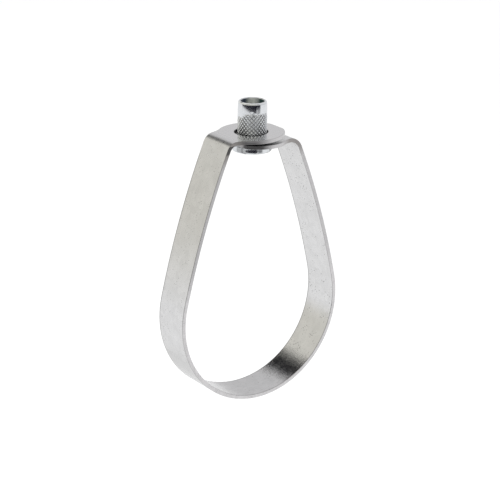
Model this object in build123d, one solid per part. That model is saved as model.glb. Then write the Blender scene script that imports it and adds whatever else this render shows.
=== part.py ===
from build123d import *
import os
from math import cos, radians, sin, sqrt, tan

# Swivel ring hanger: one bent steel band whose two round eyes overlap on a knurled, flanged nut.
# Millimetres. The origin is the centre of the pipe, +Y runs along the pipe, +Z up along the rod.

# The pipe that lies in the ring, and the rod that screws into the nut
pipe_diameter = 73.0
rod_diameter = 9.525
thread_tap_diameter = 7.94

# Band: a seat under the pipe, and two legs that bow gently together above it
seat_clearance = 1.5
band_width = 17.5
band_thickness = 1.6
seat_half_angle = 102.6
leg_turn_angle = 10.4
upper_bend_radius = 3.5
lower_bend_radius = 5.2

# Eyes: the round ends of the band, one over the other, each cut straight at its tip.
# The spring of the legs lifts the tips. The heights are those at the rod's axis.
upper_eye_top_height = 76.0
eye_gap = 1.0
eye_tilt = 1.6
eye_radius = 13.9
upper_eye_tip_reach = 13.3
lower_eye_tip_reach = 10.0
eye_flare_radius = 12.0
eye_spring_shift = 0.45
hole_clearance = 0.95

# Nut: a barrel through both holes, on a flange that carries the eyes
nut_length = 20.9
barrel_diameter = 12.2
rim_round = 0.45
mouth_clearance = 0.1
mouth_bevel = 0.3
mouth_depth = 4.5
mouth_step_length = 0.55
flange_diameter = 16.6
flange_height = 2.55
flange_bevel = 0.5
shoulder_height = 0.7
shoulder_slope_width = 0.4
shoulder_clearance = 0.07
thread_lead_in = 0.4

# What follows from these sizes
barrel_radius = barrel_diameter / 2
flange_radius = flange_diameter / 2
hole_radius = barrel_radius + hole_clearance
mouth_radius = rod_diameter / 2 + mouth_clearance
thread_tap_radius = thread_tap_diameter / 2
half_thickness = band_thickness / 2
half_width = band_width / 2
seat_line_radius = pipe_diameter / 2 + seat_clearance + half_thickness
leg_end_angle = seat_half_angle + leg_turn_angle
bend_turn_angle = 180 - leg_end_angle - eye_tilt
upper_eye_line_height = upper_eye_top_height - half_thickness
lower_eye_line_height = upper_eye_line_height - band_thickness - eye_gap
lower_eye_dip = flange_radius * tan(radians(eye_tilt))
shoulder_top = lower_eye_line_height - half_thickness - lower_eye_dip - shoulder_clearance
flange_bottom = shoulder_top - shoulder_height - flange_height
barrel_top = flange_bottom + nut_length


def leg_line_radius(eye_line_height, bend_radius):
    """Radius of the bowed leg's middle line, so that its eye has this height at the rod's axis."""
    tilt = radians(eye_tilt)
    start = radians(seat_half_angle)
    end = radians(leg_end_angle)
    bend_line_radius = bend_radius + half_thickness
    seat_rise = -seat_line_radius * cos(start)
    bend_rise = bend_line_radius * (cos(tilt) + cos(end))
    bend_reach = seat_line_radius * sin(start) - bend_line_radius * (sin(end) - sin(tilt))
    eye_rise = bend_reach * tan(tilt)
    bow = cos(start) - cos(end) - (sin(start) - sin(end)) * tan(tilt)
    return (eye_line_height - seat_rise - bend_rise - eye_rise) / bow


def seat_line(offset):
    """The round seat in the XZ plane, at this distance outside the band's middle line."""
    return CenterArc((0, 0), seat_line_radius + offset, -90 - seat_half_angle, 2 * seat_half_angle)


def leg_line(side, offset, leg_radius):
    """One leg, tangent to the seat. side is 1 for the right leg and -1 for the left one."""
    seat = seat_line(offset)
    start = seat @ 1 if side > 0 else seat @ 0
    tangent = seat % 1 if side > 0 else -(seat % 0)
    return JernArc(start, tangent, leg_radius + offset, side * leg_turn_angle)


def bend_line(side, offset, leg, bend_radius):
    """The bend at the top of a leg, tangent to it, which ends in the slope of the eye."""
    return JernArc(leg @ 1, leg % 1, bend_radius + half_thickness + offset, side * bend_turn_angle)


def in_band_plane(edges, width):
    """The face inside these edges, as a band of this width across the XZ plane."""
    return extrude(Plane.XZ * make_face(edges), amount=width / 2, both=True)


def make_loop(right_leg_radius, left_leg_radius):
    """The seat and both legs, up to where the bends start."""
    outer = seat_line(half_thickness)
    inner = seat_line(-half_thickness)
    edges = [outer, inner]
    for side, leg_radius in ((1, right_leg_radius), (-1, left_leg_radius)):
        outer_leg = leg_line(side, half_thickness, leg_radius)
        inner_leg = leg_line(side, -half_thickness, leg_radius)
        edges += [outer_leg, inner_leg, Line(outer_leg @ 1, inner_leg @ 1)]
    return in_band_plane(edges, band_width)


def eye_outline(side, eye_x, leg_x, tip_reach):
    """The eye seen from above: a disc that flares out of the band, cut straight at its tip."""
    strip_length = abs(leg_x - eye_x)
    strip = Pos(eye_x + side * strip_length / 2, 0) * Rectangle(strip_length, band_width)
    outline = strip + Pos(eye_x, 0) * Circle(eye_radius)
    corner_x = eye_x + side * sqrt(eye_radius ** 2 - half_width ** 2)
    corners = outline.vertices().filter_by(lambda corner: abs(corner.X - corner_x) < half_thickness)
    outline = fillet(corners, eye_flare_radius)
    beyond_tip = Pos(eye_x - side * (tip_reach + eye_radius), 0) * Rectangle(2 * eye_radius, 2 * eye_radius)
    return outline - beyond_tip


def make_eye(side, eye_line_height, bend_radius, leg_radius, tip_reach):
    """The bend and the round eye at the top of one leg, with the hole for the nut."""
    eye_x = side * eye_spring_shift
    edges = []
    for offset in (half_thickness, -half_thickness):
        leg = leg_line(side, offset, leg_radius)
        bend = bend_line(side, offset, leg, bend_radius)
        edges += [bend, Line(bend @ 1, bend @ 1 + bend % 1 * 2 * eye_radius)]
    outer_bend, outer_top, inner_bend, inner_top = edges
    edges += [Line(outer_bend @ 0, inner_bend @ 0), Line(outer_top @ 1, inner_top @ 1)]
    blank = in_band_plane(edges, 2 * eye_radius)
    outline = eye_outline(side, eye_x, side * seat_line_radius, tip_reach)
    trimmed = blank & extrude(outline, amount=upper_eye_top_height + eye_radius)
    hole = Pos(eye_x, 0, eye_line_height) * Cylinder(hole_radius, 2 * band_thickness)
    return trimmed - hole


def make_strap_ring():
    """The whole band, bent from one strip: the right leg ends in the lower eye, the left in the upper."""
    right_leg_radius = leg_line_radius(lower_eye_line_height, lower_bend_radius)
    left_leg_radius = leg_line_radius(upper_eye_line_height, upper_bend_radius)
    ring = make_loop(right_leg_radius, left_leg_radius)
    ring += make_eye(1, lower_eye_line_height, lower_bend_radius, right_leg_radius, lower_eye_tip_reach)
    ring += make_eye(-1, upper_eye_line_height, upper_bend_radius, left_leg_radius, upper_eye_tip_reach)
    return ring


def make_swivel_nut():
    """The nut, turned in one piece: bevelled flange, barrel, smooth mouth and tapped bore."""
    mouth_bottom = barrel_top - mouth_depth
    rim_start = (barrel_radius, barrel_top - rim_round)
    rim_end = (barrel_radius - rim_round, barrel_top)
    outside = Polyline(
        (thread_tap_radius + thread_lead_in, flange_bottom),
        (flange_radius - flange_bevel, flange_bottom),
        (flange_radius, flange_bottom + flange_bevel),
        (flange_radius, shoulder_top - shoulder_height),
        (flange_radius - shoulder_slope_width, shoulder_top),
        (barrel_radius, shoulder_top),
        rim_start,
    )
    rim = RadiusArc(rim_start, rim_end, -rim_round)
    inside = Polyline(
        rim_end,
        (mouth_radius + mouth_bevel, barrel_top),
        (mouth_radius, barrel_top - mouth_bevel),
        (mouth_radius, mouth_bottom),
        (thread_tap_radius, mouth_bottom - mouth_step_length),
        (thread_tap_radius, flange_bottom + thread_lead_in),
        (thread_tap_radius + thread_lead_in, flange_bottom),
    )
    section = make_face([outside, rim, inside])
    return revolve(Plane.XZ * section, Axis.Z)


os.makedirs("parts", exist_ok=True)
export_step(make_strap_ring(), "parts/strap_ring.step")
export_step(make_swivel_nut(), "parts/swivel_nut.step")
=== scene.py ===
"""The look of a swivel ring hanger: a galvanised band whose two eyes overlap on a knurled, flanged nut.

The pieces are modelled at the real object's sizes, in millimetres scaled to metres, around the
centre of the pipe: +Y runs along the pipe and +Z up along the rod.
"""

import logging
import math
from contextlib import contextmanager
from dataclasses import dataclass, field
from enum import Enum
from typing import Callable, Iterator

import bmesh
import bpy
from mathutils import Matrix, Vector

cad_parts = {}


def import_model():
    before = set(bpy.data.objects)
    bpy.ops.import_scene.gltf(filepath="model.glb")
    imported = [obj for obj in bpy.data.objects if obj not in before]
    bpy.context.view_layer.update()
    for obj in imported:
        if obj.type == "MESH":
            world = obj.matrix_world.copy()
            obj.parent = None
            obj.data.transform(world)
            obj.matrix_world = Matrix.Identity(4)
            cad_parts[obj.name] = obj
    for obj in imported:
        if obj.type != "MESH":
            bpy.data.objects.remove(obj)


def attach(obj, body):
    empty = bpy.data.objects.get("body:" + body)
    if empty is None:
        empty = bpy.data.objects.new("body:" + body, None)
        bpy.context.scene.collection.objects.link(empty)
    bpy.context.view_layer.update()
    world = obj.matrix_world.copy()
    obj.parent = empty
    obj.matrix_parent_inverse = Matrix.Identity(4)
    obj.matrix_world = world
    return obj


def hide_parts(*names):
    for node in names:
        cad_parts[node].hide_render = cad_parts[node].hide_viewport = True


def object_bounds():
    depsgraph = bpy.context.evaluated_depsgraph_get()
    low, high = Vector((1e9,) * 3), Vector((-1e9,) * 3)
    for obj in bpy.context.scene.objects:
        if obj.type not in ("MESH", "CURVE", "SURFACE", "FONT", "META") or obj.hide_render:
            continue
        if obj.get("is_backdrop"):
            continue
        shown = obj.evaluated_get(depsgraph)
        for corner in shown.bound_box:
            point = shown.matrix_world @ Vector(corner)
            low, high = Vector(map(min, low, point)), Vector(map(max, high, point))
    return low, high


Colour = tuple[float, float, float, float]
Ramp = tuple[float, float]

MILLIMETRE = 0.001
PHOTO_WIDTH = 500
BLACK = (0.0, 0.0, 0.0, 1.0)
WHITE = (1.0, 1.0, 1.0, 1.0)

# Level directions of length 1: towards the front of the view, and to the right across it
FRONT = (-0.583, -0.8125)
RIGHT_HAND = (0.8125, -0.583)

# Vertices nearer together than this, in metres, count as one line or as one vertex
SAME_LINE = 1e-5
SAME_VERTEX = 1e-6

log = logging.getLogger("hanger")


class Side(Enum):
    """Which leg of the band, as the sign of its X."""

    RIGHT = 1
    LEFT = -1


# Shader arithmetic


class Signal:
    """A shader value that takes part in plain arithmetic, each operation as one Math node."""

    def __init__(self, graph: "ShaderGraph", socket: bpy.types.NodeSocket) -> None:
        """Wraps one output socket of a graph."""
        self.graph = graph
        self.socket = socket

    def _math(self, operation: str, first: "Signal | float", second: "Signal | float" = 0.0) -> "Signal":
        """One Math node.

        Args:
            operation: the Math node's operation.
            first: the value of its first socket.
            second: the value of its second socket.

        Returns:
            The node's result.
        """
        node = self.graph.node("ShaderNodeMath", {"operation": operation}, {0: first, 1: second})
        return Signal(self.graph, node.outputs[0])

    def __add__(self, other: "Signal | float") -> "Signal":
        """Sum."""
        return self._math("ADD", self, other)

    __radd__ = __add__

    def __mul__(self, other: "Signal | float") -> "Signal":
        """Product."""
        return self._math("MULTIPLY", self, other)

    __rmul__ = __mul__

    def __sub__(self, other: "Signal | float") -> "Signal":
        """Difference."""
        return self._math("SUBTRACT", self, other)

    def __rsub__(self, other: "Signal | float") -> "Signal":
        """Difference, the other way round."""
        return self._math("SUBTRACT", other, self)

    def __truediv__(self, other: "Signal | float") -> "Signal":
        """Quotient."""
        return self._math("DIVIDE", self, other)

    def __pow__(self, other: "Signal | float") -> "Signal":
        """Power."""
        return self._math("POWER", self, other)

    def largest(self, other: "Signal | float") -> "Signal":
        """The larger of two values."""
        return self._math("MAXIMUM", self, other)

    def size(self) -> "Signal":
        """The value without its sign."""
        return self._math("ABSOLUTE", self)

    def step(self, low: float, high: float) -> "Signal":
        """A smooth step.

        Args:
            low: where the step starts from 0.
            high: where it reaches 1. With low above high it runs downwards.

        Returns:
            A value from 0 to 1.
        """
        settings = {"interpolation_type": "SMOOTHSTEP"}
        inputs = {"Value": self, "From Min": low, "From Max": high}
        node = self.graph.node("ShaderNodeMapRange", settings, inputs)
        return Signal(self.graph, node.outputs[0])

    def between(self, first: Ramp, second: Ramp) -> "Signal":
        """Both of two smooth steps at once, each given by where it starts and ends."""
        return self.step(*first) * self.step(*second)


class ShaderGraph:
    """The node tree of a material or a world, with short ways to add to it."""

    def __init__(self, tree: bpy.types.NodeTree) -> None:
        """Empties the tree and keeps it."""
        self.tree = tree
        tree.nodes.clear()

    def node(self, kind: str, settings: dict | None = None, inputs: dict | None = None) -> bpy.types.Node:
        """Adds one node.

        Args:
            kind: the node's type.
            settings: attributes of the node, set first.
            inputs: socket name or number, and the value or link for it.

        Returns:
            The new node.
        """
        node = self.tree.nodes.new(kind)
        for name, value in (settings or {}).items():
            setattr(node, name, value)
        for name, value in (inputs or {}).items():
            if isinstance(value, Signal):
                self.tree.links.new(value.socket, node.inputs[name])
            elif isinstance(value, bpy.types.NodeSocket):
                self.tree.links.new(value, node.inputs[name])
            else:
                node.inputs[name].default_value = value
        return node

    def signal(self, socket: bpy.types.NodeSocket) -> Signal:
        """A socket as a value for arithmetic."""
        return Signal(self, socket)

    def place(self) -> tuple[bpy.types.NodeSocket, Signal, Signal, Signal]:
        """The place on the object.

        Returns:
            The Object coordinates in metres, and their X, Y and Z.
        """
        vector = self.node("ShaderNodeTexCoord").outputs["Object"]
        parts = self.node("ShaderNodeSeparateXYZ", None, {0: vector}).outputs
        return vector, self.signal(parts[0]), self.signal(parts[1]), self.signal(parts[2])

    def stretched(
        self, vector: bpy.types.NodeSocket, scale: tuple[float, float, float]
    ) -> bpy.types.NodeSocket:
        """A vector scaled along each axis."""
        settings = {"operation": "MULTIPLY"}
        return self.node("ShaderNodeVectorMath", settings, {0: vector, 1: scale}).outputs[0]

    def noise(
        self, vector: bpy.types.NodeSocket, scale: float, detail: float = 3.0, rough: float = 0.5
    ) -> Signal:
        """Cloudy noise.

        Args:
            vector: the coordinates it is read at.
            scale: how many features there are in a metre.
            detail: how many finer layers it has.
            rough: how strong the finer layers are.

        Returns:
            A value from 0 to 1, mostly near 0.5.
        """
        inputs = {"Vector": vector, "Scale": scale, "Detail": detail, "Roughness": rough}
        return self.signal(self.node("ShaderNodeTexNoise", None, inputs).outputs[0])

    def cells(self, vector: bpy.types.NodeSocket, scale: float, wanted: str = "Distance") -> Signal:
        """Voronoi cells: the distance from each cell's centre, or its own random value."""
        node = self.node("ShaderNodeTexVoronoi", None, {"Vector": vector, "Scale": scale})
        return self.signal(node.outputs[wanted])

    def blend(self, factor: Signal, first: object, second: object) -> bpy.types.NodeSocket:
        """A colour between two others.

        Args:
            factor: 0 for the first and 1 for the second.
            first: a colour with alpha, or a link to one.
            second: a colour with alpha, or a link to one.

        Returns:
            The mixed colour.
        """
        inputs = {"Factor": factor, 6: first, 7: second}
        return self.node("ShaderNodeMix", {"data_type": "RGBA"}, inputs).outputs[2]

    def bump(self, height: Signal, strength: float, distance: float) -> bpy.types.NodeSocket:
        """A surface relief.

        Args:
            height: the relief, from 0 to 1.
            strength: how much of it shows.
            distance: how deep a height of 1 is, in metres.

        Returns:
            The normal that follows the relief.
        """
        inputs = {"Strength": strength, "Distance": distance, "Height": height}
        return self.node("ShaderNodeBump", None, inputs).outputs[0]


def facing(x: Signal, y: Signal, side: tuple[float, float]) -> Signal:
    """How far a place or a direction lies towards one side of the rod's axis.

    Args:
        x: its X.
        y: its Y.
        side: the level direction of that side, of length 1.

    Returns:
        The cosine of the turn between them, from -1 to 1.
    """
    return (x * side[0] + y * side[1]) / (x * x + y * y) ** 0.5


# Finishes


@dataclass(frozen=True)
class Finish:
    """A finish: a name, a colour, how sharply it reflects, how metallic it is and how much it glows."""

    name: str
    colour: tuple[float, float, float]
    roughness: float
    metallic: float = 1.0
    glow: float = 0.0

    def material(self) -> bpy.types.Material:
        """Builds the material of this finish.

        Returns:
            The new material.
        """
        material = bpy.data.materials.new(self.name)
        material.use_nodes = True
        graph = ShaderGraph(material.node_tree)
        plain = {"Metallic": self.metallic, "Roughness": self.roughness, "Emission Strength": self.glow}
        shader = graph.node("ShaderNodeBsdfPrincipled", None, plain)
        for name, value in self.surface(graph).items():
            if isinstance(value, Signal):
                value = value.socket
            graph.tree.links.new(value, shader.inputs[name])
        graph.node("ShaderNodeOutputMaterial", None, {"Surface": shader.outputs[0]})
        return material

    def tone(self, share: float) -> Colour:
        """The finish's own colour, lighter or darker by this share, with alpha."""
        red, green, blue = (min(1.0, part * share) for part in self.colour)
        return red, green, blue, 1.0

    def surface(self, graph: ShaderGraph) -> dict[str, object]:
        """What varies over the surface.

        Args:
            graph: the material's node tree.

        Returns:
            The value or link for each socket of the shader that varies, by the socket's name.
        """
        raise NotImplementedError


@dataclass(frozen=True)
class GalvanisedSheet(Finish):
    """Rolled, pre-galvanised sheet: faint cloudy spangle, rolling streaks, and small dark specks.

    Each ramp says where on the band a tone starts and ends, in metres.
    """

    eye_rise: Ramp = (0.0700, 0.0712)
    eye_reach: Ramp = (0.0160, 0.0138)
    gap_floor: Ramp = (0.0725, 0.0728)
    gap_roof: Ramp = (0.0752, 0.0749)
    gap_right: Ramp = (0.012, 0.001)
    gap_left: Ramp = (-0.0137, -0.0130)
    bend_rise: Ramp = (0.0640, 0.0700)
    bend_reach: Ramp = (0.0118, 0.0135)
    front_border: Ramp = (0.00838, 0.00862)
    back_border: Ramp = (0.00815, 0.00840)
    under_bends: Ramp = (0.0690, 0.0660)
    pitted_side: Ramp = (-0.005, 0.020)
    seat_drop: Ramp = (0.0, -0.012)

    def surface(self, graph: ShaderGraph) -> dict[str, object]:
        """Cloudy tone, streaks along the band, specks, light scuffs, a painted highlight on the eyes, and
        painted shade between the eyes and along each border.

        Args:
            graph: the material's node tree.

        Returns:
            Colour, roughness and relief, by the shader's socket name.
        """
        place, x, y, z = graph.place()
        clouds = graph.noise(place, 120.0, 4.0, 0.55)
        spangle = graph.cells(place, 420.0, "Color")
        streaks = graph.noise(graph.stretched(place, (0.06, 1.0, 0.06)), 1500.0, 3.0, 0.6)
        grain = graph.noise(place, 2600.0, 3.0, 0.7)
        side_share = x.step(*self.pitted_side) * 0.5 + 0.5
        pitted = graph.noise(place, 210.0, 3.0, 0.6).step(0.47, 0.58) * side_share
        specks = graph.cells(place, 900.0).step(0.28, 0.14) * pitted
        scuff_place = graph.stretched(place, (1.0, 0.35, 1.0))
        scuffs = graph.noise(scuff_place, 900.0, 4.0, 0.7).step(0.60, 0.74) * clouds.step(0.5, 0.62)
        tone = clouds * 0.5 + spangle * 0.25 + streaks * 0.25
        plain = graph.blend(tone.step(0.25, 0.75), self.tone(0.93), self.tone(1.05))
        reach = x.size()
        # Painted highlight: the eyes are painted lighter than the rest of the band.
        on_eyes = z.step(*self.eye_rise) * reach.step(*self.eye_reach)
        lit = graph.blend(on_eyes * 0.9, plain, self.tone(1.12))
        marked = graph.blend(specks * (1.0 - on_eyes) * 0.75, lit, self.tone(0.30))
        worn = graph.blend(scuffs * 0.35, marked, self.tone(0.78))
        # Painted shade: the band's faces in the narrow gap between the two eyes are painted dark.
        between_eyes = z.between(self.gap_floor, self.gap_roof) * x.between(self.gap_right, self.gap_left)
        with_painted_light = graph.blend(between_eyes, worn, self.tone(0.16))
        # Painted shade: a dark line painted along each rounded border of the seat and legs.
        border_shade = (-1.0 * y).step(*self.front_border) * 0.55 + y.step(*self.back_border) * 0.80
        border_shaded = graph.blend(border_shade * z.step(*self.under_bends), with_painted_light, self.tone(0.30))
        bent = z.step(*self.bend_rise) * reach.step(*self.bend_reach)
        low_down = z.step(*self.seat_drop)
        uneven = (streaks - 0.5) * 0.10 + (clouds - 0.5) * 0.12 + scuffs * 0.10 + bent * 0.12
        relief = clouds * 0.30 + streaks * 0.20 + grain * (low_down + 0.35) - specks * 0.5
        return {
            "Base Color": border_shaded,
            "Roughness": self.roughness - low_down * 0.07 + uneven,
            "Normal": graph.bump(relief, 0.40, 0.00008),
        }


@dataclass(frozen=True)
class ShearedEdge(Finish):
    """The band's cut edges: darker, rougher, with short marks across the thickness.

    Each ramp says where on the band a tone starts and ends, in metres.
    """

    leg_rise: Ramp = (0.010, 0.026)
    left_half: Ramp = (0.004, -0.004)
    right_half: Ramp = (-0.004, 0.004)
    bend_rise: Ramp = (0.0640, 0.0705)
    bend_reach: Ramp = (0.0085, 0.0125)
    bend_tone: Colour = (0.26, 0.24, 0.225, 1.0)
    front_side: Ramp = (-0.0060, -0.0085)
    eye_rise: Ramp = (0.0700, 0.0712)
    upper_eye: Ramp = (0.0738, 0.0741)
    upper_eye_top: Ramp = (0.0758, 0.0748)
    upper_shade_right: Ramp = (-0.0015, -0.0075)
    upper_shade_left: Ramp = (-0.0135, -0.0100)
    lower_shade_right: Ramp = (-0.0008, -0.0046)
    hole_reach: Ramp = (0.0080, 0.0077)
    hole_floor: Ramp = (0.0690, 0.0700)
    hole_top: Ramp = (0.07592, 0.07578)
    rounding_start: Ramp = (0.00850, 0.00856)
    rounding_end: Ramp = (0.00874, 0.00868)
    under_bends: Ramp = (0.0690, 0.0660)

    def surface(self, graph: ShaderGraph) -> dict[str, object]:
        """Uneven tone with fine cutting marks, a darker brownish tone at the bends, and painted shade high
        on the legs, between the eyes, inside the holes and along the rounded borders.

        Args:
            graph: the material's node tree.

        Returns:
            Colour, roughness and relief, by the shader's socket name.
        """
        place, x, y, z = graph.place()
        clouds = graph.noise(place, 380.0, 3.0, 0.6)
        marks = graph.noise(graph.stretched(place, (1.0, 0.25, 1.0)), 2600.0, 2.0, 0.6)
        tone = graph.blend((clouds * 0.6 + marks * 0.4).step(0.3, 0.7), self.tone(0.94), self.tone(1.24))
        # Painted shade: the cut edges high on the legs are painted darker, the left leg's more than the
        # right's.
        on_legs = z.step(*self.leg_rise) * (x.step(*self.left_half) + x.step(*self.right_half) * 0.6)
        dull = graph.blend(on_legs * 0.7, tone, self.tone(0.72))
        # A darker, brownish tone on the cut edges at the bends.
        at_bend = z.step(*self.bend_rise) * x.size().step(*self.bend_reach)
        darker_at_bends = graph.blend(at_bend * 0.75, dull, self.bend_tone)
        shaded = graph.blend(self._eye_shade(x, y, z), darker_at_bends, self.tone(0.13))
        # Painted shade: the walls of the punched holes are painted dark.
        radius = (x * x + y * y) ** 0.5
        in_hole = radius.step(*self.hole_reach) * z.between(self.hole_floor, self.hole_top)
        hole_shaded = graph.blend(in_hole * 0.9, shaded, self.tone(0.08))
        # Painted shade: a dark line painted along the rounded borders of the cut edges.
        rounding = y.size().between(self.rounding_start, self.rounding_end) * z.step(*self.under_bends)
        return {
            "Base Color": graph.blend(rounding * 0.6, hole_shaded, self.tone(0.35)),
            "Roughness": self.roughness + (clouds - 0.5) * 0.2,
            "Normal": graph.bump(clouds * 0.5 + marks * 0.5, 0.5, 0.0001),
        }

    def _eye_shade(self, x: Signal, y: Signal, z: Signal) -> Signal:
        """Where the front edges of the two eyes lie in the narrow shade between them.

        Args:
            x: the place's X.
            y: the place's Y.
            z: the place's Z.

        Returns:
            From 0 in the open to nearly 1 in the deepest shade.
        """
        upper = z.step(*self.upper_eye)
        under_top = z.step(*self.upper_eye_top) * 0.35 + 0.45
        on_upper = upper * x.between(self.upper_shade_right, self.upper_shade_left) * under_top
        on_lower = (1.0 - upper) * x.step(*self.lower_shade_right) * 0.93
        return y.step(*self.front_side) * z.step(*self.eye_rise) * (on_upper + on_lower)


@dataclass(frozen=True)
class BrightZinc(Finish):
    """Bright zinc plate on a turned and knurled nut, with painted shade in the bottoms of the knurl and a
    painted highlight on the rim.

    Each ramp says where on the nut a tone starts and ends, in metres. The ramps of a groove's bottom
    and of the front side are shares.
    """

    knurl_top_radius: float = 0.0061
    knurl_depth: float = 0.00028
    groove_bottom: Ramp = (0.30, 0.95)
    knurl_low: Ramp = (0.0716, 0.0718)
    knurl_high: Ramp = (0.0847, 0.0843)
    barrel_wall: Ramp = (0.0055, 0.0056)
    low_end: Ramp = (0.0790, 0.0750)
    front_side: Ramp = (0.25, 0.85)
    rim_rise: Ramp = (0.0885, 0.0887)
    rim_reach: Ramp = (0.0050, 0.0052)

    def surface(self, graph: ShaderGraph) -> dict[str, object]:
        """Slightly cloudy plate, with painted shade in the grooves of the knurl and a painted highlight on
        the rim.

        Args:
            graph: the material's node tree.

        Returns:
            Colour, roughness and relief, by the shader's socket name.
        """
        place, x, y, z = graph.place()
        radius = (x * x + y * y) ** 0.5
        depth = (self.knurl_top_radius - radius) / self.knurl_depth
        on_knurl = radius.step(*self.barrel_wall) * z.between(self.knurl_low, self.knurl_high)
        groove = depth.step(*self.groove_bottom) * on_knurl
        # Painted shade in the grooves of the knurl: some everywhere, much more low down by the eyes on the
        # side that faces the front.
        painted_groove_shade = z.step(*self.low_end) * 0.60 * facing(x, y, FRONT).step(*self.front_side) + 0.20
        clouds = graph.noise(place, 420.0, 3.0, 0.55)
        turning = graph.noise(graph.stretched(place, (0.05, 0.05, 1.0)), 5200.0, 2.0, 0.5)
        plain = graph.blend(clouds.step(0.3, 0.7), self.tone(0.94), self.tone(1.04))
        # Painted highlight: the rim is painted brighter.
        rim = z.step(*self.rim_rise) * radius.step(*self.rim_reach)
        with_painted_light = graph.blend(rim, plain, self.tone(1.28))
        return {
            "Base Color": graph.blend(groove * painted_groove_shade, with_painted_light, self.tone(0.13)),
            "Roughness": self.roughness + (clouds - 0.5) * 0.08 + groove * 0.10 + rim * 0.05,
            "Normal": graph.bump(clouds * 0.5 + turning * 0.5, 0.25, 0.00003),
        }


@dataclass(frozen=True)
class BoreZinc(Finish):
    """The inside of the nut: thinly plated, greenish grey and duller than the outside."""

    middle: Ramp = (0.56, 1.0)
    left_to_right: Ramp = (-0.001, 0.003)
    left_painted_shade: Colour = (0.08, 0.10, 0.14, 1.0)
    right_painted_shade: Colour = (0.06, 0.11, 0.10, 1.0)

    def surface(self, graph: ShaderGraph) -> dict[str, object]:
        """Streaky dull plate, with painted shade at both sides of the mouth.

        Args:
            graph: the material's node tree.

        Returns:
            Colour, roughness and relief, by the shader's socket name.
        """
        place, x, y, _ = graph.place()
        clouds = graph.noise(place, 500.0, 3.0, 0.6)
        # Painted shade: the bore's walls to the left and right of the view are painted dark; those facing
        # front and back keep the plate's tone.
        middle = (facing(x, y, FRONT) ** 2.0).step(*self.middle)
        streaky = graph.blend(clouds.step(0.3, 0.7), self.tone(0.8), self.tone(1.1))
        dark = graph.blend(x.step(*self.left_to_right), self.left_painted_shade, self.right_painted_shade)
        return {
            "Base Color": graph.blend(middle, dark, streaky),
            "Roughness": self.roughness + (clouds - 0.5) * 0.15,
            "Normal": graph.bump(clouds, 0.3, 0.00004),
        }


@dataclass(frozen=True)
class PaleFloor(Finish):
    """A plain white studio floor, a little brighter to the camera so that it reads as white paper."""

    metallic: float = 0.0
    glow: float = 0.14

    def surface(self, graph: ShaderGraph) -> dict[str, object]:
        """One even tone with hardly any cloud.

        Args:
            graph: the material's node tree.

        Returns:
            Colour and glow, by the shader's socket name.
        """
        place, _, _, _ = graph.place()
        clouds = graph.noise(place, 3.0, 1.0)
        seen = graph.signal(graph.node("ShaderNodeLightPath").outputs["Is Camera Ray"])
        return {
            "Base Color": graph.blend(clouds, self.tone(0.995), self.tone(1.0)),
            "Emission Color": graph.blend(seen, BLACK, WHITE),
        }


# Modelling by hand


def deselect_all() -> None:
    """Leaves object mode with nothing selected."""
    if bpy.context.object and bpy.context.object.mode != "OBJECT":
        bpy.ops.object.mode_set(mode="OBJECT")
    bpy.ops.object.select_all(action="DESELECT")


def pick(piece: bpy.types.Object) -> None:
    """Selects one piece alone, in object mode, and makes it the active one.

    Args:
        piece: the piece to pick.
    """
    deselect_all()
    piece.select_set(True)
    bpy.context.view_layer.objects.active = piece


@contextmanager
def editing(piece: bpy.types.Object) -> Iterator[None]:
    """Edit mode on one piece alone, by vertices, for as long as the block runs.

    Args:
        piece: the piece to edit.

    Returns:
        A single step, during which the block runs.
    """
    pick(piece)
    bpy.ops.object.mode_set(mode="EDIT")
    bpy.ops.mesh.select_mode(type="VERT")
    yield
    bpy.ops.object.mode_set(mode="OBJECT")


def select_vertices(piece: bpy.types.Object, wanted: Callable[[Vector], bool]) -> int:
    """Selects vertices by their place, in edit mode.

    Args:
        piece: the piece in edit mode.
        wanted: says of a vertex's place whether it is selected.

    Returns:
        How many are selected.
    """
    bpy.ops.mesh.select_mode(type="VERT")
    mesh = bmesh.from_edit_mesh(piece.data)
    for vertex in mesh.verts:
        vertex.select_set(wanted(vertex.co))
    mesh.select_flush_mode()
    bmesh.update_edit_mesh(piece.data)
    return sum(vertex.select for vertex in mesh.verts)


def select_faces(piece: bpy.types.Object, wanted: Callable[[Vector, Vector], bool]) -> None:
    """Selects faces by their centre and normal, in edit mode.

    Args:
        piece: the piece in edit mode.
        wanted: says of a face's centre and normal whether it is selected.
    """
    bpy.ops.mesh.select_mode(type="FACE")
    bpy.ops.mesh.select_all(action="DESELECT")
    mesh = bmesh.from_edit_mesh(piece.data)
    for face in mesh.faces:
        face.select_set(wanted(face.calc_center_median(), face.normal))
    bmesh.update_edit_mesh(piece.data)


def apply_modifier(piece: bpy.types.Object, kind: str, settings: dict[str, object]) -> None:
    """Adds one modifier and applies it at once.

    Args:
        piece: the piece it shapes.
        kind: the modifier's type.
        settings: its attributes.
    """
    pick(piece)
    modifier = piece.modifiers.new(kind.lower(), kind)
    for name, value in settings.items():
        setattr(modifier, name, value)
    bpy.ops.object.modifier_apply(modifier=modifier.name)


def settle(piece: bpy.types.Object, name: str) -> None:
    """Names a piece and moves its place, turn and scale into its mesh.

    Args:
        piece: the piece.
        name: its new name.
    """
    pick(piece)
    bpy.ops.object.transform_apply(location=True, rotation=True, scale=True)
    piece.name = name
    piece.data.name = name


def face_outwards(piece: bpy.types.Object) -> None:
    """Merges doubled vertices and turns every face of a closed piece outwards.

    Args:
        piece: the piece.
    """
    with editing(piece):
        bpy.ops.mesh.select_all(action="SELECT")
        bpy.ops.mesh.remove_doubles(threshold=SAME_VERTEX)
        bpy.ops.mesh.normals_make_consistent(inside=False)


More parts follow.
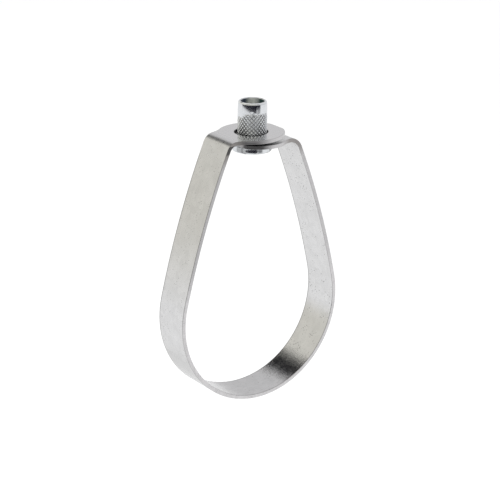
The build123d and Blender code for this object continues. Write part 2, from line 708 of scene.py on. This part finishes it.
def dress(
    piece: bpy.types.Object, first: Finish, second: Finish, wanted: Callable[[Vector, Vector], bool]
) -> None:
    """Gives a piece one finish, and some of its faces another.

    Args:
        piece: the piece.
        first: the finish of most faces.
        second: the finish of the others.
        wanted: says of a face's centre and normal whether it gets the second finish.
    """
    piece.data.materials.clear()
    for finish in (first, second):
        piece.data.materials.append(finish.material())
    with editing(piece):
        select_faces(piece, wanted)
        piece.active_material_index = 1
        bpy.ops.object.material_slot_assign()


# The band


@dataclass
class StrapRing:
    """The bent band: a round seat, two bowed legs, two bends and two flared eyes. Sizes in millimetres.

    A face is a cut one where its normal leans sideways by more than sideways_edge, or, at the eyes,
    upwards by less than level_edge.
    """

    seat_radius: float = 38.0
    width: float = 17.5
    thickness: float = 1.6
    seat_half_angle: float = 102.6
    leg_turn_angle: float = 10.4
    upper_bend_radius: float = 3.5
    lower_bend_radius: float = 5.2
    upper_eye_top: float = 76.0
    eye_gap: float = 1.0
    eye_tilt: float = 1.6
    eye_radius: float = 13.9
    upper_tip_reach: float = 13.3
    lower_tip_reach: float = 10.0
    flare_radius: float = 12.0
    eye_shift: float = 0.45
    hole_radius: float = 7.05
    hole_sides: int = 96
    punch_share: float = 1.35
    rim_allowance: float = 0.03
    rim_merge: float = 0.2
    edge_round: float = 0.16
    edge_round_steps: int = 3
    edge_angle: float = 50.0
    smooth_angle: float = 35.0
    sideways_edge: float = 0.7
    level_edge: float = 0.3
    cuts_across: int = 3
    seat_steps: int = 80
    leg_steps: int = 14
    bend_steps: int = 16
    eye_steps: int = 30
    eye_lead_in: float = 0.2
    face_finish: Finish = field(
        default_factory=lambda: GalvanisedSheet("galvanised sheet", (0.74, 0.74, 0.74), 0.17)
    )
    edge_finish: Finish = field(
        default_factory=lambda: ShearedEdge("sheared edge", (0.665, 0.655, 0.66), 0.30)
    )

    @property
    def line_radius(self) -> float:
        """Radius of the seat's middle line."""
        return self.seat_radius + self.thickness / 2

    def eye_line(self, side: Side) -> float:
        """Height of an eye's middle at the rod's axis. The left leg ends in the upper eye."""
        upper = self.upper_eye_top - self.thickness / 2
        return upper if side is Side.LEFT else upper - self.thickness - self.eye_gap

    def bend_line_radius(self, side: Side) -> float:
        """Radius of a bend's middle line."""
        inner = self.upper_bend_radius if side is Side.LEFT else self.lower_bend_radius
        return inner + self.thickness / 2

    def leg_line_radius(self, side: Side) -> float:
        """Radius of a bowed leg's middle line, so that its eye has its height at the rod's axis.

        Args:
            side: which leg.

        Returns:
            The radius.
        """
        tilt = math.radians(self.eye_tilt)
        start = math.radians(self.seat_half_angle)
        end = math.radians(self.seat_half_angle + self.leg_turn_angle)
        bend = self.bend_line_radius(side)
        seat_rise = -self.line_radius * math.cos(start)
        bend_rise = bend * (math.cos(tilt) + math.cos(end))
        bend_reach = self.line_radius * math.sin(start) - bend * (math.sin(end) - math.sin(tilt))
        eye_rise = bend_reach * math.tan(tilt)
        bow = math.cos(start) - math.cos(end) - (math.sin(start) - math.sin(end)) * math.tan(tilt)
        return (self.eye_line(side) - seat_rise - bend_rise - eye_rise) / bow

    def half_width_at(self, reach: float) -> float:
        """Half the band's width near an eye.

        Args:
            reach: distance from the eye's centre towards its own leg.

        Returns:
            Half the width there, on the disc, on the flare or on the straight band.
        """
        half = self.width / 2
        flare_y = half + self.flare_radius
        flare_reach = math.sqrt((self.eye_radius + self.flare_radius) ** 2 - flare_y ** 2)
        join_reach = flare_reach * self.eye_radius / (self.eye_radius + self.flare_radius)
        if reach >= flare_reach:
            return half
        if reach > join_reach:
            return flare_y - math.sqrt(self.flare_radius ** 2 - (flare_reach - reach) ** 2)
        return math.sqrt(self.eye_radius ** 2 - reach ** 2)

    def _turn(self, centre: tuple[float, float], angle: float, steps: int) -> None:
        """Spins the selected line across the band.

        Args:
            centre: X and Z of the point it turns about.
            angle: how far it turns, in degrees.
            steps: in how many steps.
        """
        middle = (centre[0] * MILLIMETRE, 0.0, centre[1] * MILLIMETRE)
        bpy.ops.mesh.spin(steps=steps, angle=math.radians(angle), center=middle, axis=(0, 1, 0))

    def _select_line(self, piece: bpy.types.Object, x: float, z: float) -> None:
        """Selects the line across the band at this X and Z."""
        near = Vector((x, 0.0, z)) * MILLIMETRE
        select_vertices(piece, lambda place: (Vector((place.x, 0, place.z)) - near).length < SAME_LINE)

    def _grow_side(self, piece: bpy.types.Object, side: Side) -> None:
        """Grows one leg, its bend and its eye from the end of the seat.

        Args:
            piece: the band in edit mode.
            side: which leg.
        """
        sign = side.value
        start = math.radians(self.seat_half_angle)
        end = start + math.radians(self.leg_turn_angle)
        foot = (sign * self.line_radius * math.sin(start), -self.line_radius * math.cos(start))
        self._select_line(piece, *foot)
        leg_radius = self.leg_line_radius(side)
        leg_centre = (foot[0] - sign * leg_radius * math.sin(start), foot[1] + leg_radius * math.cos(start))
        self._turn(leg_centre, sign * self.leg_turn_angle, self.leg_steps)
        bend_radius = self.bend_line_radius(side)
        bend_centre = (
            leg_centre[0] + sign * (leg_radius - bend_radius) * math.sin(end),
            leg_centre[1] - (leg_radius - bend_radius) * math.cos(end),
        )
        self._turn(bend_centre, sign * (180.0 - math.degrees(end) - self.eye_tilt), self.bend_steps)
        tilt = math.radians(self.eye_tilt)
        here = sign * bend_centre[0] + bend_radius * math.sin(tilt) - self.eye_shift
        width_here = self.width / 2
        for reach in self._eye_columns(here, side):
            shift = (here - reach) * MILLIMETRE
            rise = shift * math.tan(tilt)
            bpy.ops.mesh.extrude_region_move(TRANSFORM_OT_translate={"value": (-sign * shift, 0, rise)})
            wider = self.half_width_at(reach) / width_here
            bpy.ops.transform.resize(value=(1, wider, 1))
            width_here *= wider
            here = reach
        self._flare_bend(piece, side, bend_centre)

    def _eye_columns(self, start: float, side: Side) -> list[float]:
        """Where the lines across an eye lie, as distances from its centre towards its leg.

        Args:
            start: the distance at which the bend ends.
            side: whose leg's eye it is.

        Returns:
            Distances down to the tip, closer together where the outline is steep.
        """
        first = math.acos(min(1.0, (start - self.eye_lead_in) / self.eye_radius))
        tip_reach = self.upper_tip_reach if side is Side.LEFT else self.lower_tip_reach
        last = math.acos(-tip_reach / self.eye_radius)
        turns = [first + (last - first) * step / self.eye_steps for step in range(self.eye_steps + 1)]
        return [self.eye_radius * math.cos(turn) for turn in turns]

    def _flare_bend(self, piece: bpy.types.Object, side: Side, bend_centre: tuple[float, float]) -> None:
        """Widens the lines of the bend that lie in the eye's flare.

        Args:
            piece: the band in edit mode.
            side: which leg.
            bend_centre: the bend's centre in the XZ plane.
        """
        radius = self.bend_line_radius(side)
        for step in range(1, self.bend_steps + 1):
            share = step / self.bend_steps
            turn = math.radians((180 - self.seat_half_angle - self.leg_turn_angle - self.eye_tilt) * share)
            lean = math.radians(self.seat_half_angle + self.leg_turn_angle) + turn
            x = bend_centre[0] + side.value * radius * math.sin(lean)
            z = bend_centre[1] - radius * math.cos(lean)
            self._select_line(piece, x, z)
            reach = side.value * x - self.eye_shift
            bpy.ops.transform.resize(value=(1, self.half_width_at(reach) / (self.width / 2), 1))

    def _sheet(self) -> bpy.types.Object:
        """The band's middle surface, grown from one line across it.

        Returns:
            The open sheet.
        """
        deselect_all()
        start = math.radians(self.seat_half_angle)
        foot = Vector((-self.line_radius * math.sin(start), 0.0, -self.line_radius * math.cos(start)))
        bpy.ops.mesh.primitive_plane_add(size=self.width * MILLIMETRE)
        piece = bpy.context.object
        with editing(piece):
            select_vertices(piece, lambda place: place.x < 0)
            bpy.ops.mesh.delete(type="VERT")
            bpy.ops.mesh.select_all(action="SELECT")
            bpy.ops.mesh.subdivide(number_cuts=self.cuts_across)
            bpy.ops.mesh.select_all(action="SELECT")
            to_foot = foot * MILLIMETRE - Vector((self.width * MILLIMETRE / 2, 0, 0))
            bpy.ops.transform.translate(value=to_foot)
            self._turn((0.0, 0.0), 2 * self.seat_half_angle, self.seat_steps)
            self._grow_side(piece, Side.RIGHT)
            self._grow_side(piece, Side.LEFT)
            bpy.ops.mesh.select_all(action="SELECT")
            bpy.ops.mesh.normals_make_consistent(inside=False)
        return piece

    def _punch(self, piece: bpy.types.Object, side: Side) -> None:
        """Punches the hole of one eye, and merges the vertices that crowd along its rim.

        Args:
            piece: the solid band.
            side: which eye.
        """
        deselect_all()
        centre = (side.value * self.eye_shift * MILLIMETRE, 0, self.eye_line(side) * MILLIMETRE)
        bpy.ops.mesh.primitive_cylinder_add(
            vertices=self.hole_sides,
            radius=self.hole_radius * MILLIMETRE,
            depth=self.thickness * self.punch_share * MILLIMETRE,
            location=centre,
        )
        punch = bpy.context.object
        apply_modifier(piece, "BOOLEAN", {"operation": "DIFFERENCE", "object": punch, "solver": "EXACT"})
        bpy.data.objects.remove(punch)
        middle = Vector(centre)
        rim = (self.hole_radius + self.rim_allowance) * MILLIMETRE
        near = self.thickness * MILLIMETRE

        def on_rim(place: Vector) -> bool:
            """Whether a vertex lies along the rim of this hole."""
            return (place - middle).to_2d().length < rim and abs(place.z - middle.z) < near

        with editing(piece):
            select_vertices(piece, on_rim)
            bpy.ops.mesh.remove_doubles(threshold=self.rim_merge * MILLIMETRE)

    def build(self) -> bpy.types.Object:
        """Builds the finished band.

        Returns:
            The band, riding on the ring's body in place of its plain solid.
        """
        piece = self._sheet()
        settle(piece, "strap_ring_band")
        plate = {"thickness": self.thickness * MILLIMETRE, "offset": 0.0, "use_even_offset": True}
        apply_modifier(piece, "SOLIDIFY", plate)
        face_outwards(piece)
        for side in Side:
            self._punch(piece, side)
        face_outwards(piece)
        self._dress(piece)
        bpy.ops.object.shade_smooth_by_angle(angle=math.radians(self.smooth_angle))
        rounding = {
            "width": self.edge_round * MILLIMETRE,
            "segments": self.edge_round_steps,
            "limit_method": "ANGLE",
            "angle_limit": math.radians(self.edge_angle),
            "use_clamp_overlap": False,
            "harden_normals": True,
            "miter_outer": "MITER_ARC",
            "material": 1,
        }
        apply_modifier(piece, "BEVEL", rounding)
        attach(piece, "ring")
        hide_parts("strap_ring")
        return piece

    def _is_cut_edge(self, centre: Vector, normal: Vector) -> bool:
        """Whether a face was made by the shears or the punch, and not by the rolls.

        Args:
            centre: the face's centre.
            normal: its normal.

        Returns:
            True for a cut face.
        """
        if abs(normal.y) > self.sideways_edge:
            return True
        level = centre.z > (self.eye_line(Side.RIGHT) - self.thickness) * MILLIMETRE
        near_rod = abs(centre.x) < self.eye_radius * MILLIMETRE
        return level and near_rod and abs(normal.z) < self.level_edge

    def _dress(self, piece: bpy.types.Object) -> None:
        """Gives the rolled faces and the cut edges their finishes."""
        dress(piece, self.face_finish, self.edge_finish, self._is_cut_edge)


# The nut


@dataclass
class SwivelNut:
    """The nut: a flange, a knurled barrel, a smooth mouth and a threaded bore. Sizes in millimetres.

    The upper edge of the knurl is ragged: the height, count and start of each wave in it are ragged_waves.
    """

    flange_bottom: float = 68.248
    length: float = 20.9
    barrel_radius: float = 6.1
    flange_radius: float = 8.3
    flange_bevel: float = 0.5
    flange_height: float = 2.55
    tool_mark_height: float = 0.6
    tool_mark_depth: float = 0.06
    tool_mark_end: float = 0.05
    shoulder_height: float = 0.7
    shoulder_slope: float = 0.4
    slope_start_in: float = 0.16
    slope_start_up: float = 0.10
    rim_round: float = 0.75
    rim_steps: int = 6
    crown_height: float = 3.9
    crown_drop: float = 0.12
    crown_steps: int = 8
    mouth_radius: float = 4.8625
    mouth_bevel: float = 0.3
    mouth_depth: float = 4.5
    mouth_step: float = 0.55
    lip_drop: float = 0.02
    thread_root_radius: float = 4.7625
    thread_crest_radius: float = 3.97
    thread_pitch: float = 1.5875
    thread_lead_in: float = 0.4
    thread_foot_share: float = 0.42
    thread_crest_share: float = 0.11
    thread_sink: float = 0.06
    thread_steps: int = 64
    knurl_count: int = 24
    knurl_lean: float = 42.0
    knurl_depth: float = 0.28
    knurl_top: float = 83.05
    knurl_rise: float = 2.1
    knurl_high_side: float = -105.0
    knurl_fade: float = 1.1
    knurl_levels: int = 16
    ragged_waves: tuple[tuple[float, int, float], ...] = ((0.35, 5, 1.0), (0.25, 11, 0.0))
    ragged_room: float = 1.0
    above_shoulder: float = 0.05
    under_surface: float = 0.02
    flat_normal: float = 0.99
    smooth_angle: float = 24.0
    thread_smooth_angle: float = 30.0
    samples: int = 14
    groove_share: float = 0.24
    plate: Finish = field(
        default_factory=lambda: BrightZinc("bright zinc plate", (0.75, 0.77, 0.79), 0.12)
    )
    bore_plate: Finish = field(
        default_factory=lambda: BoreZinc("dull zinc bore", (0.86, 0.88, 0.82), 0.40, 0.6)
    )

    @property
    def top(self) -> float:
        """Height of the rim."""
        return self.flange_bottom + self.length

    @property
    def shoulder_top(self) -> float:
        """Height of the face that carries the eyes."""
        return self.flange_bottom + self.flange_height + self.shoulder_height

    @property
    def ring_count(self) -> int:
        """How many vertices go round the nut: a whole number for each groove of the knurl."""
        return self.knurl_count * self.samples

    @property
    def knurl_row(self) -> float:
        """Height between two rows of the knurl's lattice."""
        pitch_round = 2 * math.pi * self.barrel_radius / self.knurl_count
        return pitch_round / math.tan(math.radians(self.knurl_lean)) / self.samples

    @property
    def knurl_rows(self) -> int:
        """How many rows the knurl's lattice has, from the shoulder up."""
        highest = self.knurl_top + self.knurl_rise
        return math.ceil((highest - self.shoulder_top) / self.knurl_row)

    def _outside(self) -> list[tuple[float, float]]:
        """The outside of the nut, from its bottom edge up to the rim.

        Returns:
            Radius and height of each ring after the first.
        """
        bottom = self.flange_bottom
        marked = self.flange_radius - self.tool_mark_depth
        points = [
            (self.flange_radius - self.flange_bevel, bottom),
            (self.flange_radius - self.flange_bevel * 0.3, bottom + self.flange_bevel * 0.35),
            (self.flange_radius, bottom + self.flange_bevel),
            (self.flange_radius, bottom + self.flange_bevel + self.tool_mark_height),
            (marked, bottom + self.flange_bevel + 2 * self.tool_mark_height),
            (marked, bottom + self.flange_height - self.tool_mark_end),
            (self.flange_radius - self.slope_start_in, bottom + self.flange_height + self.slope_start_up),
            (self.flange_radius - self.shoulder_slope, self.shoulder_top),
            (self.barrel_radius, self.shoulder_top),
        ]
        for row in range(1, self.knurl_rows + 1):
            points.append((self.barrel_radius, self.shoulder_top + self.knurl_row * row))
        crown_low = max(points[-1][1], self.top - self.rim_round - self.crown_height)
        crown_high = self.top - self.rim_round
        for step in range(1, self.crown_steps):
            share = step / self.crown_steps
            height = crown_low + (crown_high - crown_low) * share
            points.append((self.barrel_radius - self.crown_drop * share ** 2, height))
        rim_centre = (self.barrel_radius - self.crown_drop - self.rim_round, crown_high)
        for step in range(self.rim_steps + 1):
            turn = math.radians(90 / self.rim_steps * step)
            outwards, upwards = self.rim_round * math.cos(turn), self.rim_round * math.sin(turn)
            points.append((rim_centre[0] + outwards, rim_centre[1] + upwards))
        return points

    def _inside(self) -> list[tuple[float, float]]:
        """The inside of the nut, from the rim down through the bore to the bottom.

        Returns:
            Radius and height of each ring.
        """
        mouth_bottom = self.top - self.mouth_depth
        return [
            (self.mouth_radius + self.mouth_bevel, self.top - self.lip_drop),
            (self.mouth_radius + self.mouth_bevel * 0.35, self.top - self.mouth_bevel * 0.45),
            (self.mouth_radius, self.top - self.mouth_bevel),
            (self.mouth_radius, mouth_bottom),
            (self.thread_root_radius, mouth_bottom - self.mouth_step),
            (self.thread_root_radius, self.flange_bottom + self.thread_lead_in),
            (self.thread_root_radius + self.thread_lead_in, self.flange_bottom),
        ]

    def _turned(self) -> bpy.types.Object:
        """The turned shape, drawn up ring by ring from a circle and closed on itself.

        Returns:
            The closed body, with its barrel still plain.
        """
        deselect_all()
        radius = self.thread_root_radius + self.thread_lead_in
        height = self.flange_bottom
        bpy.ops.mesh.primitive_circle_add(
            vertices=self.ring_count,
            radius=radius * MILLIMETRE,
            fill_type="NOTHING",
            location=(0, 0, height * MILLIMETRE),
        )
        piece = bpy.context.object
        settle(piece, "swivel_nut_body")
        with editing(piece):
            bpy.ops.mesh.select_all(action="SELECT")
            for next_radius, next_height in self._outside() + self._inside():
                rise = (next_height - height) * MILLIMETRE
                bpy.ops.mesh.extrude_region_move(TRANSFORM_OT_translate={"value": (0, 0, rise)})
                grow = next_radius / radius
                middle = (0, 0, next_height * MILLIMETRE)
                bpy.ops.transform.resize(value=(grow, grow, 1), center_override=middle)
                radius, height = next_radius, next_height
        face_outwards(piece)
        return piece

    def _groove_share(self, place: Vector) -> float:
        """How deep a lattice point of the knurl lies, from 0 on a flat to 1 at the bottom of a groove.

        Args:
            place: a vertex of the barrel, in metres.

        Returns:
            The share of the groove's depth.
        """
        height = place.z / MILLIMETRE
        turn = math.atan2(place.y, place.x)
        column = round(turn / (2 * math.pi) * self.ring_count)
        row = round((height - self.shoulder_top) / self.knurl_row)
        nearest = min(
            min(step % self.samples, -step % self.samples) for step in (column + row, column - row)
        )
        v_groove = max(0.0, 1.0 - nearest / (self.samples * self.groove_share))
        ragged = sum(rise * math.sin(count * turn + start) for rise, count, start in self.ragged_waves)
        higher = self.knurl_rise * math.cos(turn - math.radians(self.knurl_high_side))
        edge = self.knurl_top + higher + ragged
        fade = min(1.0, max(0.0, (edge - height) / self.knurl_fade))
        return v_groove * fade

    def _knurl(self, piece: bpy.types.Object) -> None:
        """Presses the two families of grooves into the barrel, a level at a time.

        Args:
            piece: the nut with its barrel still plain.
        """
        low = (self.shoulder_top + self.above_shoulder) * MILLIMETRE
        high = (self.knurl_top + self.knurl_rise + self.ragged_room) * MILLIMETRE
        barrel = (self.barrel_radius - self.under_surface) * MILLIMETRE
        with editing(piece):
            for level in range(1, self.knurl_levels + 1):

                def in_level(place: Vector) -> bool:
                    """Whether a vertex is on the barrel and its groove is this deep.

                    Args:
                        place: the vertex, in metres.

                    Returns:
                        True where it is pressed in at this level.
                    """
                    if not low < place.z < high or math.hypot(place.x, place.y) < barrel:
                        return False
                    return round(self._groove_share(place) * self.knurl_levels) == level

                if select_vertices(piece, in_level):
                    share = level / self.knurl_levels
                    inwards = 1 - share * self.knurl_depth / self.barrel_radius
                    bpy.ops.transform.resize(value=(inwards, inwards, 1), center_override=(0, 0, 0))
            upright = self.flat_normal
            select_faces(piece, lambda centre, normal: low < centre.z < high and abs(normal.z) < upright)
            bpy.ops.mesh.quads_convert_to_tris(quad_method="SHORTEST_DIAGONAL", ngon_method="BEAUTY")

    def _thread(self) -> bpy.types.Object:
        """The ridge of the rod thread, wound up the bore from its section.

        Returns:
            One closed helical ridge, its foot just inside the wall of the bore.
        """
        deselect_all()
        half_foot = self.thread_pitch * self.thread_foot_share
        half_crest = self.thread_pitch * self.thread_crest_share
        foot_radius = self.thread_root_radius + self.thread_sink
        middle = (foot_radius + self.thread_crest_radius) / 2
        depth = foot_radius - self.thread_crest_radius
        low = self.flange_bottom + self.thread_lead_in + half_foot
        bpy.ops.mesh.primitive_plane_add(
            size=MILLIMETRE,
            location=(middle * MILLIMETRE, 0, low * MILLIMETRE),
            rotation=(math.radians(90), 0, 0),
        )
        ridge = bpy.context.object
        ridge.scale = (depth, half_foot * 2, 1)
        settle(ridge, "swivel_nut_thread")
        with editing(ridge):
            bpy.ops.mesh.delete(type="ONLY_FACE")
            select_vertices(ridge, lambda place: place.x < middle * MILLIMETRE)
            narrow = half_crest / half_foot
            bpy.ops.transform.resize(value=(1, 1, narrow), center_override=(0, 0, low * MILLIMETRE))
        high = self.top - self.mouth_depth - self.mouth_step
        turns = int((high - low) / self.thread_pitch)
        winding = {
            "axis": "Z",
            "angle": 2 * math.pi,
            "screw_offset": self.thread_pitch * MILLIMETRE,
            "iterations": turns,
            "steps": self.thread_steps,
            "render_steps": self.thread_steps,
            "use_normal_calculate": True,
        }
        apply_modifier(ridge, "SCREW", winding)
        with editing(ridge):
            bpy.ops.mesh.select_all(action="DESELECT")
            bpy.ops.mesh.select_non_manifold()
            bpy.ops.mesh.edge_face_add()
        face_outwards(ridge)
        return ridge

    def build(self) -> list[bpy.types.Object]:
        """Builds the finished nut.

        Returns:
            The body and the thread's ridge, riding on the nut's body in place of its plain solid.
        """
        body = self._turned()
        self._knurl(body)
        self._dress(body)
        bpy.ops.object.shade_smooth_by_angle(angle=math.radians(self.smooth_angle))
        thread = self._thread()
        thread.data.materials.append(self.bore_plate.material())
        bpy.ops.object.shade_smooth_by_angle(angle=math.radians(self.thread_smooth_angle))
        for piece in (body, thread):
            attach(piece, "nut")
            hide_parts("swivel_nut")
        return [body, thread]

    def _in_bore(self, centre: Vector, normal: Vector) -> bool:
        """Whether a face belongs to the inside of the nut, below the bevel of the mouth."""
        inside = math.hypot(centre.x, centre.y) < (self.mouth_radius + self.under_surface) * MILLIMETRE
        return inside and centre.z < (self.top - self.mouth_bevel) * MILLIMETRE

    def _dress(self, body: bpy.types.Object) -> None:
        """Gives the outside and the bore their finishes."""
        dress(body, self.plate, self.bore_plate, self._in_bore)


# The studio


@dataclass(frozen=True)
class Screen:
    """A dark screen in front of the piece, which polished metal reflects.

    Each ramp says where a side of it starts, from -1 to 1, across the view or up.
    """

    left: Ramp
    right: Ramp
    low: Ramp
    high: Ramp
    share: float

    def shade(self, across: Signal, height: Signal) -> Signal:
        """How much of the light the screen takes in a direction."""
        return across.between(self.left, self.right) * height.between(self.low, self.high) * self.share


@dataclass
class Studio:
    """A plain white floor under the hanging piece, soft light all round and one large lamp above.

    Lengths are in metres. Each ramp says where a tone of the room starts and ends, from -1 to 1.
    """

    drop: float = 0.085
    floor_size: float = 6.0
    lamp_power: float = 3.0
    lamp_size: float = 0.7
    lamp_place: tuple[float, float, float] = (-0.35, -0.45, 0.85)
    level: float = 0.92
    floor_finish: Finish = field(default_factory=lambda: PaleFloor("white floor", (0.93, 0.93, 0.93), 0.9))
    warm_wall: Colour = (0.74, 0.725, 0.67, 1.0)
    cool_wall: Colour = (0.635, 0.63, 0.64, 1.0)
    warm_to_cool: Ramp = (-0.25, 0.25)
    white_paper: Colour = (0.93, 0.93, 0.935, 1.0)
    grey_paper: Colour = (0.80, 0.80, 0.80, 1.0)
    steep_down: Ramp = (-0.45, -0.60)
    grey_side: Ramp = (-0.24, -0.05)
    horizon: Ramp = (0.06, -0.14)
    doorway_place: tuple[float, float, float] = (-0.0892, 0.7675, 0.6348)
    doorway_round: Ramp = (0.973, 0.984)
    doorway_tone: Colour = (0.012, 0.012, 0.014, 1.0)
    front_half: Ramp = (-0.1, 0.2)
    post: Screen = Screen((0.55, 0.66), (0.93, 0.84), (-0.318, -0.300), (-0.18, -0.20), 0.55)
    canopy: Screen = Screen((-0.97, -0.80), (0.97, 0.80), (0.34, 0.42), (0.80, 0.70), 0.85)
    screen_tone: Colour = (0.02, 0.02, 0.025, 1.0)
    wedge_foot: float = -0.262
    wedge_slope: float = 13.6
    wedge_spread: float = 1.2
    wedge_left: Ramp = (0.30, 0.44)
    wedge_right: Ramp = (0.62, 0.46)
    wedge_brim: Ramp = (-0.197, -0.185)
    wedge_brim_right: Ramp = (0.95, 0.85)
    wedge_low: Ramp = (-0.268, -0.256)
    wedge_high: Ramp = (0.06, -0.04)
    wedge_tone: Colour = (0.012, 0.012, 0.02, 1.0)

    def build(self, lowest: float) -> bpy.types.Object:
        """Lays the floor, hangs the lamp and lights the room.

        Args:
            lowest: the height of the object's lowest point, in metres.

        Returns:
            The floor.
        """
        deselect_all()
        bpy.ops.mesh.primitive_plane_add(size=self.floor_size, location=(0, 0, lowest - self.drop))
        floor = bpy.context.object
        settle(floor, "studio_floor")
        floor.data.materials.append(self.floor_finish.material())
        floor.visible_glossy = False
        floor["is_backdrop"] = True
        bpy.ops.object.light_add(type="AREA", location=self.lamp_place)
        lamp = bpy.context.object
        lamp.data.energy = self.lamp_power
        lamp.data.size = self.lamp_size
        lamp.rotation_euler = (-Vector(self.lamp_place)).to_track_quat("-Z", "Y").to_euler()
        lamp.visible_glossy = False
        self._light_room()
        return floor

    def _light_room(self) -> None:
        """Soft even light, white to the camera, with the room's tones for polished metal to reflect."""
        world = bpy.data.worlds.new("studio room")
        world.use_nodes = True
        bpy.context.scene.world = world
        graph = ShaderGraph(world.node_tree)
        path = graph.node("ShaderNodeLightPath").outputs
        reflected = graph.signal(path["Is Glossy Ray"])
        seen = graph.signal(path["Is Camera Ray"]).largest(graph.signal(path["Is Transmission Ray"]))
        even = (self.level, self.level, self.level, 1.0)
        lit = graph.blend(reflected, even, self._room_tones(graph))
        shown = graph.blend(seen, lit, WHITE)
        background = graph.node("ShaderNodeBackground", None, {"Color": shown, "Strength": 1.0})
        graph.node("ShaderNodeOutputWorld", None, {"Surface": background.outputs[0]})

    def _room_tones(self, graph: ShaderGraph) -> bpy.types.NodeSocket:
        """What polished metal sees: pale walls and paper, a dark doorway behind, dark screens in front.

        Args:
            graph: the world's node tree.

        Returns:
            The colour in each direction.
        """
        direction = graph.node("ShaderNodeTexCoord").outputs["Generated"]
        parts = graph.node("ShaderNodeSeparateXYZ", None, {0: direction}).outputs
        x, y, z = (graph.signal(part) for part in parts)
        walls = graph.blend(x.step(*self.warm_to_cool), self.warm_wall, self.cool_wall)
        grey = z.step(*self.steep_down) * x.step(*self.grey_side)
        paper = graph.blend(grey, self.white_paper, self.grey_paper)
        room = graph.blend(z.step(*self.horizon), walls, paper)
        doorway = self._nearness(graph, direction, self.doorway_place).step(*self.doorway_round)
        opened = graph.blend(doorway, room, self.doorway_tone)
        in_front = facing(x, y, FRONT).step(*self.front_half)
        across = facing(x, y, RIGHT_HAND)
        screens = self.post.shade(across, z).largest(self.canopy.shade(across, z))
        screened = graph.blend(in_front * screens, opened, self.screen_tone)
        return graph.blend(in_front * self._wedge(across, z), screened, self.wedge_tone)

    def _wedge(self, across: Signal, height: Signal) -> Signal:
        """A dark wedge in front of the piece, which spreads to the left as it rises.

        Args:
            across: how far a direction lies to the right of the view.
            height: how far it points up.

        Returns:
            From 0 outside the wedge to 1 in it.
        """
        rise = ((height - self.wedge_foot) * self.wedge_slope).largest(0.0)
        from_left = (across + rise ** 0.5 * self.wedge_spread).step(*self.wedge_left)
        brim = height.step(*self.wedge_brim) * across.step(*self.wedge_brim_right)
        to_right = across.step(*self.wedge_right).largest(brim)
        return from_left * to_right * height.between(self.wedge_low, self.wedge_high)

    def _nearness(self, graph: ShaderGraph, direction: bpy.types.NodeSocket, towards: tuple) -> Signal:
        """How near each direction is to a fixed one.

        Args:
            graph: the world's node tree.
            direction: the link to each direction.
            towards: the fixed direction, of any length.

        Returns:
            The cosine of the angle between the two.
        """
        fixed = Vector(towards).normalized()
        settings = {"operation": "DOT_PRODUCT"}
        node = graph.node("ShaderNodeVectorMath", settings, {0: direction, 1: tuple(fixed)})
        return graph.signal(node.outputs["Value"])


@dataclass
class PhotoView:
    """The camera at the photograph's viewing angle. Angles in degrees, lengths in millimetres."""

    azimuth: float = -35.658
    elevation: float = 19.162
    roll: float = 1.024
    distance: float = 800.0
    target_height: float = 24.265
    focal_pixels: float = 1902.95
    sensor_width: float = 36.0

    def build(self) -> bpy.types.Object:
        """Places the camera and makes it the scene's own.

        Returns:
            The camera.
        """
        turn = math.radians(self.azimuth)
        tilt = math.radians(self.elevation)
        back = Vector((math.sin(turn) * math.cos(tilt), -math.cos(turn) * math.cos(tilt), math.sin(tilt)))
        right = (-back).cross(Vector((0, 0, 1))).normalized()
        up = right.cross(-back)
        target = Vector((0, 0, self.target_height))
        place = Matrix.Translation((target + back * self.distance) * MILLIMETRE)
        aim = Matrix((right, up, back)).transposed().to_4x4()
        data = bpy.data.cameras.new("photo view")
        data.sensor_width = self.sensor_width
        data.lens = self.focal_pixels / PHOTO_WIDTH * self.sensor_width
        camera = bpy.data.objects.new("photo view", data)
        bpy.context.scene.collection.objects.link(camera)
        camera.matrix_world = place @ aim @ Matrix.Rotation(math.radians(self.roll), 4, "Z")
        bpy.context.scene.camera = camera
        return camera


def plain_numbers(box: tuple) -> list[list[float]]:
    """The two corners of a box as plain lists of numbers."""
    return [[float(part) for part in corner] for corner in box]


def main() -> None:
    """Builds the hanger around its frame, then the studio and the camera, and reports each piece."""
    logging.basicConfig(level=logging.INFO, format="%(name)s %(message)s")
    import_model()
    solid_box = plain_numbers(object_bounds())
    for piece in (StrapRing().build(), *SwivelNut().build()):
        log.info("%s: %d faces", piece.name, len(piece.data.polygons))
    floor = Studio().build(solid_box[0][2])
    log.info("%s: %.0f mm wide", floor.name, floor.dimensions.x / MILLIMETRE)
    camera = PhotoView().build()
    log.info("%s: %.1f mm lens", camera.name, camera.data.lens)
    bpy.context.scene.view_settings.view_transform = "Standard"


if __name__ == "__main__":
    main()
